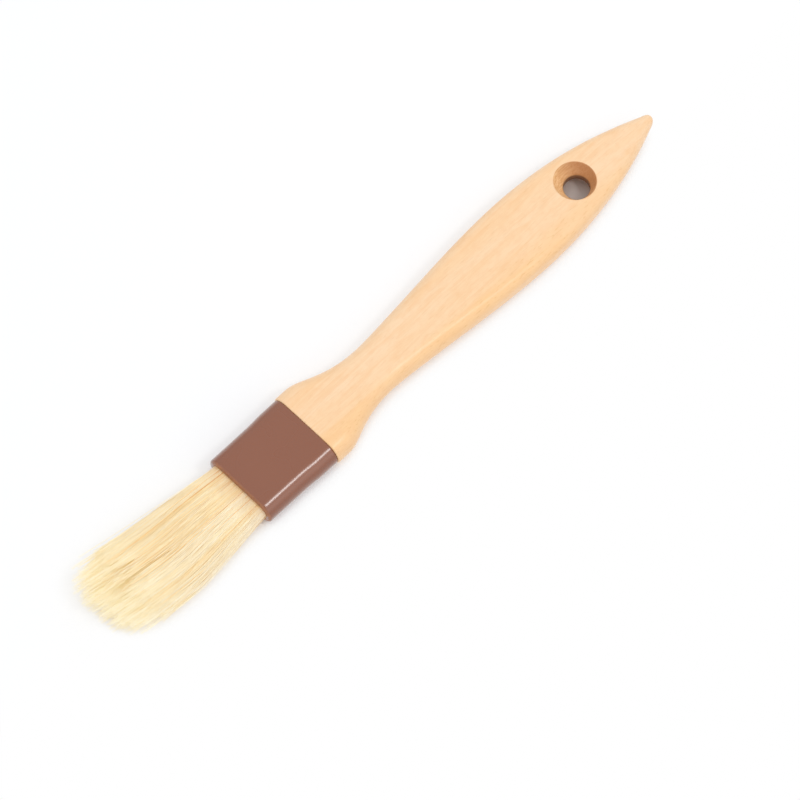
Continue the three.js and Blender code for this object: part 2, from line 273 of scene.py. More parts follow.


# %% [markdown]
# ### Pale hardwood under satin lacquer
#
# The handle is a close-grained pale wood with hardly any figure. Layers of noise, most of them drawn out
# along the handle, give it: bands, clouds, streaks, fine fibre lines, a mottle, pores and short flecks.
# Fibre and flecks also feed a very small bump. The wood is deeper in colour along one edge, and the pores
# show most there; the rest of the face is painted paler and greyer, a painted sheen of broad light on the
# lacquer. Inside the hanging hole the wood is cut across its fibres and carries less lacquer, so it is
# darker there, and the straight bore and the side towards the tip are darker still with painted shade. The
# lacquer is a coat over the wood, which keeps the sheen even where the wood below it changes.

# %% Wood
# Each pattern in the grain: its length along and across the handle, and the noise's detail, roughness and
# distortion.
GRAIN = {
    "bands": (90 * MM, 6 * MM, 3.0, 0.5, 0.3),
    "clouds": (30 * MM, 12 * MM, 2.0, 0.5, 0.0),
    "streaks": (22 * MM, 2 * MM, 3.0, 0.5, 1.2),
    "fibre": (7 * MM, 0.4 * MM, 3.0, 0.6, 0.4),
    "mottle": (2.6 * MM, 1.5 * MM, 3.0, 0.5, 0.0),
    "pores": (2.2 * MM, 0.6 * MM, 2.0, 0.5, 0.0),
    "flecks": (4 * MM, 0.3 * MM, 2.0, 0.5, 0.5),
}
# How a pattern colours the wood: the noise at which it starts and is full, its strength and its colour.
GRAIN_COLOURS = {
    "clouds": (0.35, 0.75, 0.30, (0.95, 0.68, 0.43)),
    "streaks": (0.42, 0.70, 0.42, (0.90, 0.53, 0.25)),
    "fibre": (0.40, 0.80, 0.22, (0.86, 0.50, 0.23)),
    "mottle": (0.40, 0.70, 0.30, (0.90, 0.54, 0.28)),
    "pores": (0.55, 0.75, 0.50, (0.80, 0.47, 0.20)),
    "flecks": (0.60, 0.76, 0.25, (0.72, 0.40, 0.18)),
}
# WOOD_PALE is the wood's pale tone and, away from the -Y edge, also a painted sheen.
WOOD_PALE = (0.94, 0.675, 0.435)
WOOD_DEEP = (0.935, 0.575, 0.265)
BANDS_SHOW = (0.3, 0.7)
BANDS_SHARE, DEEP_EDGE_AND_SHEEN_SHARE = 0.4, 0.6
DEEP_EDGE_AND_SHEEN = (-3 * MM, -10 * MM)
PORES_ELSEWHERE = 0.15
CUT_FIBRES_SHOW = (0.3, 0.7)
CUT_PALE = (0.96, 0.62, 0.32)
CUT_DARK = (0.76, 0.40, 0.16)
# Painted shade in the hole: on the wall towards the tip and in the straight bore.
TIP_SIDE = (-5 * MM, 6 * MM)
TIP_SIDE_SHARE, TIP_SIDE_PAINTED_SHADE = 0.75, (0.46, 0.17, 0.06)
BORE_ENDS = (1.0 * MM, 1.4 * MM)
BORE_SHARE, BORE_PAINTED_SHADE = 0.85, (0.20, 0.10, 0.055)
FLECK_DEPTH = 0.6


def wood_material():
    paint = Paint("lacquered_wood")
    grain = {}
    for name, (along, across, detail, roughness, distortion) in GRAIN.items():
        grain[name] = paint.noise(paint.stretched(along, across), detail, roughness, distortion)
    shown = {}
    for name, (start, full, _, _) in GRAIN_COLOURS.items():
        shown[name] = paint.ease(grain[name], start, full)
    x, y, z = paint.split(paint.place)
    # Deeper towards the -Y edge: partly the wood's own tone, partly painted sheen, because the rest of the
    # face is left paler and greyer.
    edge = paint.ease(y, *DEEP_EDGE_AND_SHEEN)
    shown["pores"] = shown["pores"] * (edge + PORES_ELSEWHERE)

    tone = paint.ease(grain["bands"], *BANDS_SHOW) * BANDS_SHARE + edge * DEEP_EDGE_AND_SHEEN_SHARE
    colour = paint.colours(tone.math("MINIMUM", 1.0), WOOD_PALE, WOOD_DEEP)
    for name, (_, _, strength, layer) in GRAIN_COLOURS.items():
        colour = paint.colours(shown[name] * strength, colour, layer)

    in_hole = 1.0 - paint.ease(
        paint.from_hole(), COUNTERSINK_RADIUS - 0.2 * MM, COUNTERSINK_RADIUS + 0.1 * MM)
    cut = paint.colours(paint.ease(grain["fibre"], *CUT_FIBRES_SHOW), CUT_PALE, CUT_DARK)
    # Painted shade over the cut fibres, on the wall towards the tip and in the straight bore.
    cut = paint.colours(paint.ease(x - HOLE_X, *TIP_SIDE) * TIP_SIDE_SHARE, cut, TIP_SIDE_PAINTED_SHADE)
    bore_painted_shade = 1.0 - paint.ease((z - MIDDLE_Z).math("ABSOLUTE"), *BORE_ENDS)
    cut = paint.colours(bore_painted_shade * BORE_SHARE, cut, BORE_PAINTED_SHADE)
    relief = grain["fibre"] - shown["flecks"] * FLECK_DEPTH
    return paint.finish({
        "Base Color": paint.colours(in_hole, colour, cut),
        "Roughness": paint.mix(grain["fibre"], 0.46, 0.56),
        "Normal": paint.bump(relief, distance=0.02 * MM, strength=0.35),
        "Specular IOR Level": 0.2,
        "Coat Weight": 0.7 - in_hole * 0.6,
        "Coat Roughness": 0.30,
    })


WOOD = wood_material()

# %% [markdown]
# ### Moulded brown plastic
#
# The ferrule came out of a polished mould: it is glossy and nearly even, with a slow ripple that breaks up
# the reflections a little. A narrow, broken band on the edge of the mouth is painted lighter, standing for
# light bounced from the bristles onto the lip, and has less gloss; it fades out at the far side.

# %% Plastic
BROWN = (0.228, 0.067, 0.026)
WARMER_BROWN = (0.244, 0.075, 0.031)
# Painted light on the mouth's lip: a lighter brown for light bounced from the bristles.
LIP_BOUNCE_LIGHT_BROWN = (0.42, 0.18, 0.09)
LIP_LIGHT_BAND = (1.3 * MM, 0.7 * MM)
LIP_LIGHT_RAGGEDNESS = 1 * MM
LIP_LIGHT_PATCHES = (0.4, 0.6, 0.35, 0.95)
LIP_LIGHT_FAR_END = (12.5 * MM, 10.5 * MM)


def plastic_material():
    paint = Paint("moulded_plastic")
    ripple = paint.noise(paint.stretched(14 * MM, 7 * MM), detail=0.0)
    tone = paint.noise(paint.stretched(20 * MM, 20 * MM))
    lip_light_noise = paint.noise(paint.stretched(1.2 * MM, 1.6 * MM), detail=3.0, roughness=0.6)
    x, y, _ = paint.split(paint.place)
    # Painted light: a broken band on the lip, lighter and less glossy, fading out towards +Y.
    lip_light = paint.ease(x + lip_light_noise * LIP_LIGHT_RAGGEDNESS, *(MOUTH_X + reach for reach in LIP_LIGHT_BAND))
    lip_light = lip_light * paint.ease(lip_light_noise, *LIP_LIGHT_PATCHES) * paint.ease(y, *LIP_LIGHT_FAR_END)
    colour = paint.colours(tone, BROWN, WARMER_BROWN)
    return paint.finish({
        "Base Color": paint.colours(lip_light, colour, LIP_BOUNCE_LIGHT_BROWN),
        "Roughness": tone * 0.06 + 0.24 + lip_light * 0.4,
        "Normal": paint.bump(ripple, distance=0.03 * MM, strength=0.3),
        "Specular IOR Level": 0.4,
        "Coat Weight": 0.8 - lip_light * 0.8,
        "Coat Roughness": 0.2,
    })


PLASTIC = plastic_material()

# %% [markdown]
# ### Natural bristle
#
# Each hair carries two numbers that the geometry gives it: `tone`, which differs from hair to hair, and
# `along`, which runs from 0 at the ferrule to 1 at the tip. The colour is looked up from the first. It
# grows paler along the hair, as natural bristle does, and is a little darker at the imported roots. A small
# glow stands for the light that passes through thin hairs and comes out of the pack again.

# %% Bristle
HAIR_TONES = [
    (0.0, (0.70, 0.38, 0.12)),
    (0.12, (0.84, 0.655, 0.355)),
    (0.4, (0.87, 0.80, 0.585)),
    (1.0, (0.885, 0.89, 0.81)),
]
TIP_STRETCH, TIP_SHARE, TIP_PALE = (0.5, 1.0), 0.4, (0.905, 0.90, 0.808)
ROOT_STRETCH, ROOT_SHADE = (0.14, 0.0), (0.92, 0.87, 0.84)
GLOW_AT_MOUTH = (0.60, 0.34, 0.12)
GLOW_OUTSIDE = (0.62, 0.37, 0.15)
GLOW_AT_TIPS = (0.87, 0.70, 0.43)
GLOW_LEAVES_MOUTH = (0.0, 0.05)
GLOW_REACHES_TIPS = (0.4, 0.95)


def bristle_material():
    paint = Paint("natural_bristle")
    tone = paint.node("ShaderNodeAttribute", {"attribute_name": "tone"}, None, 2)
    along = paint.node("ShaderNodeAttribute", {"attribute_name": "along"}, None, 2)
    colour = paint.node("ShaderNodeValToRGB", {"stops": HAIR_TONES}, {"Fac": tone})
    colour = paint.colours(paint.ease(along, *TIP_STRETCH) * TIP_SHARE, colour, TIP_PALE)
    colour = paint.colours(paint.ease(along, *ROOT_STRETCH), colour, ROOT_SHADE, "MULTIPLY")
    glow = paint.colours(paint.ease(along, *GLOW_LEAVES_MOUTH), GLOW_AT_MOUTH, GLOW_OUTSIDE)
    glow = paint.colours(paint.ease(along, *GLOW_REACHES_TIPS), glow, GLOW_AT_TIPS)
    return paint.finish({
        "Base Color": colour,
        "Roughness": paint.mix(along, 0.42, 0.7),
        "Specular IOR Level": 0.35,
        "Emission Color": glow,
        "Emission Strength": 0.2,
    })


BRISTLE = bristle_material()

# %% [markdown]
# ### What is set inside the ferrule
#
# The setting resin and the filler strip can't be seen on the finished brush, but a part that is taken
# apart on screen shows them. The resin is amber and a little cloudy, and the strip is bare wood.

# %% Resin and bare wood
def one_pattern_material(name, pattern, dark, pale, least_roughness, depth, strength):
    """A material of one noise, which gives it its colours, its roughness and its relief."""
    paint = Paint(name)
    along, across, detail, roughness = pattern
    noise = paint.noise(paint.stretched(along, across), detail, roughness)
    return paint.finish({
        "Base Color": paint.colours(noise, dark, pale),
        "Roughness": noise * 0.2 + least_roughness,
        "Normal": paint.bump(noise, depth, strength),
    })


RESIN = one_pattern_material(
    "setting_resin", pattern=(4 * MM, 4 * MM, 4.0, 0.5), dark=(0.52, 0.30, 0.10), pale=(0.68, 0.44, 0.18),
    least_roughness=0.2, depth=0.2 * MM, strength=0.3)
BARE_WOOD = one_pattern_material(
    "bare_wood", pattern=(8 * MM, 0.4 * MM, 4.0, 0.6), dark=(0.62, 0.42, 0.24), pale=(0.78, 0.58, 0.36),
    least_roughness=0.6, depth=0.08 * MM, strength=0.5)

# %% [markdown]
# ## Surfaces from rings
#
# Handle and ferrule are both made the way a boat's hull is drawn: by sections across the length. Each
# section is a rectangle with round corners, cut square to X, and neighbouring sections are skinned. This
# gives clean rows of faces that shade smoothly and follow the real sizes. The side between two round
# corners never shrinks to nothing, because a side that turns inside out shows as a dark fold.

# %% Rings
CORNER_STEPS = 14
FLAT_STEPS = 24
SIDE_STEPS = 2
LEAST_SIDE = 0.03 * MM
FULLEST_ROUND = 0.999
RADIUS_PASSES = 6
WELD = 0.001 * MM


def ease(low, high, value):
    share = min(1.0, max(0.0, (value - low) / (high - low)))
    return share * share * (3 - 2 * share)


def mix(low, high, share):
    return low + (high - low) * share


def rounded_ring(half_width, half_thickness, radius, crown=0.0):
    """Points (y, z) of a round-cornered rectangle about the middle plane, anticlockwise from the right.

    With a crown, one over its radius, the broad faces fall away from their middle. Each pass lowers the
    corners' radius a little more, until the side between them keeps its least height."""
    radius = min(radius, FULLEST_ROUND * half_thickness, FULLEST_ROUND * half_width)
    for _ in range(RADIUS_PASSES):
        fall = (half_width - radius) ** 2 * crown / 2
        radius = min(radius, half_thickness - fall - LEAST_SIDE)
    flat = half_width - radius
    side = half_thickness - flat**2 * crown / 2 - radius
    quarter = np.linspace(0, math.pi / 2, CORNER_STEPS + 1)
    corner = np.c_[np.cos(quarter), np.sin(quarter)] * radius
    over = np.linspace(flat, -flat, FLAT_STEPS + 1)[1:-1]
    down = np.linspace(side, -side, SIDE_STEPS + 1)[1:-1]
    face = half_thickness - over**2 * crown / 2
    upper_left = np.vstack([
        corner + (flat, side),
        np.c_[over, face],
        corner[::-1] * (-1, 1) + (-flat, side),
        np.c_[np.full(len(down), -half_width), down],
    ])
    return np.vstack([upper_left, -upper_left])


def skin(ring_count, around, closed=False):
    """Faces between rings that are listed one after another."""
    faces = []
    for ring in range(ring_count if closed else ring_count - 1):
        here, there = ring * around, (ring + 1) % ring_count * around
        for point in range(around):
            after = (point + 1) % around
            faces.append((here + point, here + after, there + after, there + point))
    return faces


def smooth_mesh(name, points, faces, material):
    """A smooth-shaded object from points in metres. Points that meet are welded."""
    mesh = bpy.data.meshes.new(name)
    mesh.from_pydata([tuple(point) for point in points], [], faces)
    shape = bmesh.new()
    shape.from_mesh(mesh)
    bmesh.ops.remove_doubles(shape, verts=shape.verts, dist=WELD)
    bmesh.ops.dissolve_degenerate(shape, edges=shape.edges, dist=WELD)
    bmesh.ops.recalc_face_normals(shape, faces=shape.faces)
    for face in shape.faces:
        face.smooth = True
    shape.to_mesh(mesh)
    open_edges = sum(1 for edge in shape.edges if len(edge.link_faces) != 2)
    shape.free()
    mesh.materials.append(material)
    print("%s: %d faces, %d open edges" % (name, len(mesh.polygons), open_edges))
    return add_object(name, mesh)


# %% [markdown]
# ## The ferrule
#
# The real ferrule is one seamless sleeve. Its wall is a closed loop of rings: over the rounded lip of the
# mouth, back along the outside, over the small lip at the handle's end and forward again through the
# bore. The wall is thicker at the mouth, where it closes on the bristle. The outside isn't quite straight
# either: it widens slightly towards the handle, and swells a little where the handle's tenon sits inside.

# %% Ferrule
WALL = 1.7 * MM
MOUTH_WALL = 2.1 * MM
MOUTH_WALL_DEPTH = 3 * MM
MOUTH_LIP = 0.9 * MM
INNER_LIP = MOUTH_LIP / 5
BACK_LIP = 0.4 * MM
FERRULE_TAPER = 0.06 * MM
FERRULE_CROWN = 1 / (500 * MM)
TENON_SWELL = 0.14 * MM
SWELL_START = 15.5 * MM
SWELL_END = 22 * MM
LIP_STEPS = 10
RING_PITCH = 0.7 * MM
FERRULE_HALF_WIDTH = (ferrule_high.y - ferrule_low.y) / 2 - FERRULE_TAPER - TENON_SWELL


def ferrule_profile(length):
    """The wall's section as pairs: distance from the mouth, and depth below the outside."""
    turn = np.linspace(0, math.pi / 2, LIP_STEPS + 1)
    rise, fall = 1 - np.sin(turn), 1 - np.cos(turn)
    straight = np.arange(MOUTH_LIP + RING_PITCH, length - BACK_LIP, RING_PITCH)
    return np.vstack([
        np.c_[INNER_LIP * rise, MOUTH_WALL - INNER_LIP * fall],
        np.c_[MOUTH_LIP * fall, MOUTH_LIP * rise][1:],
        np.c_[straight, np.zeros(len(straight))],
        np.c_[length - BACK_LIP * rise, BACK_LIP * fall],
        [(length, WALL), (length / 2, WALL), (MOUTH_WALL_DEPTH, WALL)],
    ])


def make_ferrule():
    length = BACK_X - MOUTH_X
    points = []
    profile = ferrule_profile(length)
    for x, depth in profile:
        taper = FERRULE_TAPER * (2 * x / length - 1)
        proud = TENON_SWELL * mix(-1, 1, ease(SWELL_START, SWELL_END, x)) + taper
        width = FERRULE_HALF_WIDTH + proud * max(0.0, 1 - depth / WALL) - depth
        thickness = FERRULE_HALF_THICKNESS - depth
        ring = rounded_ring(width, thickness, thickness, FERRULE_CROWN if depth < WALL else 0.0)
        points += [(MOUTH_X + x, y, MIDDLE_Z + z) for y, z in ring]
    around = len(points) // len(profile)
    return smooth_mesh("ferrule_sleeve", points, skin(len(profile), around, closed=True), PLASTIC)


ferrule = make_ferrule()

# %% [markdown]
# ## The handle
#
# Seen from above, the handle is three long curves and a round nose: a fall from the shoulder to the neck,
# a swell to the belly, and a draw to the tip. Each is one cubic curve, and the sections are taken at points
# along it. A boolean cut through a smooth surface leaves ragged shading, so the faces round the hanging
# hole are left out instead, and the gap is filled with rows that turn step by step from the grid's square
# edge into the round rim, roll over the rim and run down the bore.

# %% Handle sizes
TENON_LENGTH = 12 * MM
TENON_CLEARANCE = 0.3 * MM
TENON_CHAMFER = 0.8 * MM
SHOULDER_LAND = 4.5 * MM
SHOULDER_EASE = 0.45 * MM
SHOULDER_GAP = 0.06 * MM
SHOULDER_HALF = handle_high.y
NECK_X = BACK_X + 29 * MM
NECK_HALF = 8.4 * MM
NECK_THICKNESS = 9.4 * MM
BELLY_X = BACK_X + 93 * MM
BELLY_HALF = 12.7 * MM
BELLY_THICKNESS = handle_high.z - handle_low.z
BELLY_EDGE = 3.4 * MM
NOSE_RADIUS = 2.0 * MM
NOSE_SLOPE = math.radians(23)
NOSE_THINNING = 0.45
TIP_THICKNESS = 4.6 * MM
CROWN = 1 / (100 * MM)
print("neck %.1f mm wide, belly %.1f mm" % (2 * NECK_HALF / MM, 2 * BELLY_HALF / MM))

# %% Handle outline
# Where each curve's two inner corners lie, as shares of its length. The last is counted from the tip.
FALL_PULLS = (0.22, 0.42)
SWELL_PULLS = (0.14, 0.64)
DRAW_PULLS = (0.36, 0.33)
CURVE_STEPS = (34, 56, 72)
NOSE_STEPS = 16
LEAST_HALF_WIDTH = 0.01 * MM


def bezier(corners, steps):
    share = np.linspace(0, 1, steps + 1)[1:, None]
    a, b, c, d = [np.array(corner, float) for corner in corners]
    keep = 1 - share
    return keep**3 * a + 3 * keep**2 * share * b + 3 * keep * share**2 * c + share**3 * d


def level_curve(start, end, pulls):
    """A curve's corners when it leaves and arrives along the handle."""
    length = end[0] - start[0]
    return start, (start[0] + pulls[0] * length, start[1]), (start[0] + pulls[1] * length, end[1]), end


def handle_outline():
    """Points (x, half width) from the shoulder's land to the very tip."""
    land = (BACK_X + SHOULDER_GAP + SHOULDER_LAND, SHOULDER_HALF)
    neck, belly = (NECK_X, NECK_HALF), (BELLY_X, BELLY_HALF)
    nose_x = TIP_X - NOSE_RADIUS
    drawn = (nose_x + NOSE_RADIUS * math.sin(NOSE_SLOPE), NOSE_RADIUS * math.cos(NOSE_SLOPE))
    draw = drawn[0] - BELLY_X
    pull = DRAW_PULLS[1] * draw
    pulled = (drawn[0] - pull * math.cos(NOSE_SLOPE), drawn[1] + pull * math.sin(NOSE_SLOPE))
    curves = [
        level_curve(land, neck, FALL_PULLS),
        level_curve(neck, belly, SWELL_PULLS),
        (belly, (BELLY_X + DRAW_PULLS[0] * draw, BELLY_HALF), pulled, drawn),
    ]
    points = [np.array([land])]
    points += [bezier(curve, steps) for curve, steps in zip(curves, CURVE_STEPS)]
    turn = np.linspace(NOSE_SLOPE, math.pi / 2, NOSE_STEPS + 1)[1:]
    half_width = NOSE_RADIUS * np.cos(turn) + LEAST_HALF_WIDTH
    points.append(np.c_[nose_x + NOSE_RADIUS * np.sin(turn), half_width])
    return np.vstack(points)


print("outline of %d points" % len(handle_outline()))


# %% Handle thickness and edges
def half_thickness(x):
    shoulder = 2 * FERRULE_HALF_THICKNESS
    if x < NECK_X:
        return mix(shoulder, NECK_THICKNESS, ease(BACK_X + SHOULDER_LAND, NECK_X, x)) / 2
    if x < BELLY_X:
        return mix(NECK_THICKNESS, BELLY_THICKNESS, ease(NECK_X, BELLY_X, x)) / 2
    share = (x - BELLY_X) / (TIP_X - BELLY_X)
    nose_share = min(1.0, max(0.0, x - (TIP_X - NOSE_RADIUS)) / NOSE_RADIUS)
    nose = mix(NOSE_THINNING, 1, math.sqrt(1 - nose_share**2))
    return nose * mix(BELLY_THICKNESS, TIP_THICKNESS, share * share) / 2


def edge_radius(x):
    return mix(FERRULE_HALF_THICKNESS, BELLY_EDGE, ease(NECK_X, BELLY_X, x))


def crown_at(x):
    """One over the radius that the broad faces are crowned to."""
    return CROWN * ease(BACK_X + SHOULDER_LAND, NECK_X, x)


print("%.1f mm thick at the hole" % (2 * half_thickness(HOLE_X) / MM))

# %% Hole in the grid
HOLE_MARGIN = 1.6 * MM
HOLE_BLEND_ROWS = 7
HOLE_BLEND_POWER = 1.5
HOLE_EDGE = 0.3 * MM
RIM_STEPS = 6
CONE_STEPS = 5
BORE_SHIFT = -0.9 * MM


def hole_gap(stations, rings):
    """The first and last row, and the right and left column, that bound the gap for the hole."""
    reach = COUNTERSINK_RADIUS + HOLE_MARGIN
    rows = [row for row, x in enumerate(stations) if abs(x - HOLE_X) < reach]
    middle = rings[rows[len(rows) // 2]]
    top = range(CORNER_STEPS + 1, CORNER_STEPS + FLAT_STEPS)
    columns = [column for column in top if abs(middle[column][0]) < reach]
    return rows[0] - 1, rows[-1] + 1, columns[0] - 1, columns[-1] + 1


def hole_profile(face):
    """The hole's section from its rim, at a face's height, to the board's middle, as (radius, height)."""
    spread = math.tan(COUNTERSINK_HALF_ANGLE)
    level = half_thickness(HOLE_X)
    mouth = COUNTERSINK_RADIUS + (face - level) * spread
    turned = math.pi / 2 - COUNTERSINK_HALF_ANGLE
    centre = mouth + HOLE_EDGE * math.tan(turned / 2)
    turn = np.linspace(0, turned, RIM_STEPS + 1)
    rim = np.c_[centre - HOLE_EDGE * np.sin(turn), face - HOLE_EDGE * (1 - np.cos(turn))]
    cone_end = max(0.0, level - (COUNTERSINK_RADIUS - HOLE_RADIUS) / spread)
    waist = COUNTERSINK_RADIUS - (level - cone_end) * spread
    down = np.linspace(0, 1, CONE_STEPS + 1)[1:, None]
    cone = mix(rim[-1], np.array((waist, cone_end)), down)
    return np.vstack([rim, cone, (waist, 0.0)])


def hole_rows(loop, side):
    """Rows of points from the square edge of the gap to the middle of the bore, on one face."""
    level = half_thickness(HOLE_X)
    columns = []
    for x, y, z in loop:
        angle = math.atan2(y, x - HOLE_X)
        cosine, sine = math.cos(angle), math.sin(angle)
        under = half_thickness(HOLE_X + COUNTERSINK_RADIUS * cosine)
        profile = hole_profile(under - (COUNTERSINK_RADIUS * sine) ** 2 * CROWN / 2)
        rim, face = profile[0]
        column = []
        for row in range(1, HOLE_BLEND_ROWS + 1):
            share = 1 - (1 - row / HOLE_BLEND_ROWS) ** HOLE_BLEND_POWER
            height = mix(abs(z - MIDDLE_Z), face, share)
            column.append((mix(x, HOLE_X + rim * cosine, share), mix(y, rim * sine, share), height))
        for radius, height in profile[1:]:
            aside = BORE_SHIFT * ease(level, level / 4, height)
            column.append((HOLE_X + radius * cosine, radius * sine + aside, height))
        columns.append([(x, y, MIDDLE_Z + side * height) for x, y, height in column])
    return [list(row) for row in zip(*columns)]


# %% Handle
def shoulder_sections():
    """The tenon inside the ferrule and the shoulder's eased face, as (x, half width, half thickness)."""
    face_x = BACK_X + SHOULDER_GAP
    tenon_width = FERRULE_HALF_WIDTH - WALL - TENON_CLEARANCE
    tenon = FERRULE_HALF_THICKNESS - WALL - TENON_CLEARANCE
    sections = [
        (BACK_X - TENON_LENGTH, tenon_width - TENON_CHAMFER, tenon - TENON_CHAMFER),
        (BACK_X - TENON_LENGTH + TENON_CHAMFER, tenon_width, tenon),
        (face_x, tenon_width, tenon),
    ]
    for turn in np.linspace(0, math.pi / 2, RIM_STEPS + 1):
        inset = SHOULDER_EASE * (1 - math.sin(turn))
        x = face_x + SHOULDER_EASE * (1 - math.cos(turn))
        sections.append((x, SHOULDER_HALF - inset, FERRULE_HALF_THICKNESS - inset))
    return sections


def grid_faces(ring_count, around, gap, mirror):
    """Faces between the rings, apart from those in the gap on top and its mirror image below."""
    first, last, right, left = gap
    faces = []
    for number, face in enumerate(skin(ring_count, around)):
        row, column = divmod(number, around)
        on_top = right <= column < left
        on_base = right < mirror - column <= left
        if not (first <= row < last and (on_top or on_base)):
            faces.append(face)
    faces.append(tuple(range(around))[::-1])
    faces.append(tuple(range(around * (ring_count - 1), around * ring_count)))
    return faces


def gap_edge(rows, columns):
    """The grid places (row, column) round the gap, one after another."""
    first, last = rows
    edge = [(first, column) for column in columns]
    edge += [(row, columns[-1]) for row in range(first + 1, last)]
    edge += [(last, column) for column in columns[::-1]]
    edge += [(row, columns[0]) for row in range(last - 1, first, -1)]
    return edge


def make_handle():
    sections = [(x, width, thickness, thickness, 0.0) for x, width, thickness in shoulder_sections()]
    for x, width in handle_outline():
        sections.append((x, width, half_thickness(x), edge_radius(x), crown_at(x)))
    stations = [x for x, *_ in sections]
    rings = [rounded_ring(*sizes) for _, *sizes in sections]
    around = len(rings[0])
    points = [(x, y, MIDDLE_Z + z) for x, ring in zip(stations, rings) for y, z in ring]

    gap = hole_gap(stations, rings)
    first, last, right, left = gap
    mirror = around // 2 + 2 * CORNER_STEPS + FLAT_STEPS
    faces = grid_faces(len(rings), around, gap, mirror)
    top = list(range(right, left + 1))
    base = [mirror - column for column in top]
    for side, columns in ((1, top), (-1, base)):
        edge = [points[row * around + column] for row, column in gap_edge((first, last), columns)]
        rows = [edge] + hole_rows(edge, side)
        start = len(points)
        points += [point for row in rows for point in row]
        faces += [tuple(start + corner for corner in face) for face in skin(len(rows), len(edge))]
    return smooth_mesh("handle_wood", points, faces, WOOD)


handle = make_handle()

# %% [markdown]
# ## The bristle
#
# A pack of thousands of hairs is work for Geometry Nodes. A copy of one thin three-sided bar is put at
# every root in the ferrule's mouth, and then all points are moved by one set of sums: along the brush by
# the hair's own length, outwards as the pack spreads to its fan, towards the middle of a small patch to
# make locks, and a little to the side, differently for each hair. The roots come from a sequence that fills
# the mouth evenly, so no two hairs share a place. A second, finer kind of hair splits off near the end of
# each bristle: those are the soft flagged ends of natural bristle.

# %% Tree inputs
HAIR_INPUTS = {"Hair Count": "Int", "Hairs Per Root": "Int", "Steps": "Int", "Material": "Material"}
HAIR_INPUTS.update(dict.fromkeys((
    "Level", "Mouth Half Width", "Mouth Half Thickness", "Filler Half Thickness", "Root Depth",
    "Trim Length", "Dome Rise", "Lean", "Fan Half Width", "Fan Half Thickness", "Fan Reach",
    "Hair Radius", "Start Share", "End Share", "Split Spread",
), "Float"))
SEEDS = {
    "length": 11, "stray": 23, "slant across": 31, "slant up": 37, "wave start": 41, "wave turns": 43,
    "split across": 53, "split up": 59, "thickness": 61, "tone": 71, "dark": 73,
}


class Growth(Tree):
    """A Geometry Nodes tree with named inputs."""

    def __init__(self, name, inputs):
        group = bpy.data.node_groups.new(name, "GeometryNodeTree")
        super().__init__(group)
        new_socket = group.interface.new_socket
        new_socket("Geometry", in_out="OUTPUT", socket_type="NodeSocketGeometry")
        self.identifiers = {}
        for title, kind in inputs.items():
            socket = new_socket(title, in_out="INPUT", socket_type="NodeSocket" + kind)
            self.identifiers[title] = socket.identifier
        self.inputs = self.outputs("NodeGroupInput")

    def random(self, low, high, number, what):
        """A number between low and high that is the same wherever a hair's number is."""
        sockets = {2: low, 3: high, 7: number, 8: SEEDS[what]}
        return self.node("FunctionNodeRandomValue", {"data_type": "FLOAT"}, sockets, 1)

    def noise(self, vector, scale, detail):
        sockets = {"Vector": vector, "Scale": scale, "Detail": detail}
        return self.node("ShaderNodeTexNoise", {"noise_dimensions": "2D"}, sockets)

    def shape(self, kind, geometry, settings=None, **sockets):
        """A node that takes a geometry and gives it back changed."""
        return self.node(kind, settings, {"Geometry": geometry, **sockets})

    def store(self, geometry, name, value, kind="FLOAT"):
        settings = {"data_type": kind, "domain": "POINT"}
        return self.shape("GeometryNodeStoreNamedAttribute", geometry, settings, Name=name, Value=value)

    def stored(self, name, kind="FLOAT"):
        return self.node("GeometryNodeInputNamedAttribute", {"data_type": kind}, {"Name": name})


# %% One bar for each hair
FLAT_FACE_UP = (0.0, 0.0, math.radians(-30))
# Multiples of these two numbers, less their whole part, spread evenly over a square.
ACROSS_STEP, ACROSS_START = 0.7548776662, 0.137
HEIGHT_STEP, HEIGHT_START = 0.5698402910, 0.611


def hair_bars(tree):
    """A copy of one bar at each root. Points carry their hair's number and their place in the bar."""
    take = tree.inputs
    bar = tree.node("GeometryNodeMeshCylinder", {"fill_type": "NGON"}, {
        "Vertices": 3, "Side Segments": take["Steps"], "Radius": 1.0, "Depth": 1.0})
    bar = tree.shape("GeometryNodeTransform", bar, Rotation=FLAT_FACE_UP)
    bar = tree.store(bar, "bar", tree.node("GeometryNodeInputPosition"), "FLOAT_VECTOR")
    roots = tree.node("GeometryNodePoints", None, {"Count": take["Hair Count"] * take["Hairs Per Root"]})
    roots = tree.store(roots, "number", tree.node("GeometryNodeInputIndex"))
    copies = tree.node("GeometryNodeInstanceOnPoints", None, {"Points": roots, "Instance": bar})
    return tree.shape("GeometryNodeRealizeInstances", copies)


def root_place(tree, root_number):
    """Where a hair is rooted in the round-ended half of the mouth, and how high in it, from 0 to 1."""
    take = tree.inputs
    across = (root_number * ACROSS_STEP + ACROSS_START).math("FRACT") * 2.0 - 1.0
    height = (root_number * HEIGHT_STEP + HEIGHT_START).math("FRACT")
    thick = take["Mouth Half Thickness"]
    root_z = tree.mix(height, take["Filler Half Thickness"], thick)
    round_part = (thick * thick - root_z * root_z).math("MAXIMUM", 0.0).math("SQRT")
    root_y = across * (take["Mouth Half Width"] - thick + round_part)
    return root_y, root_z, height


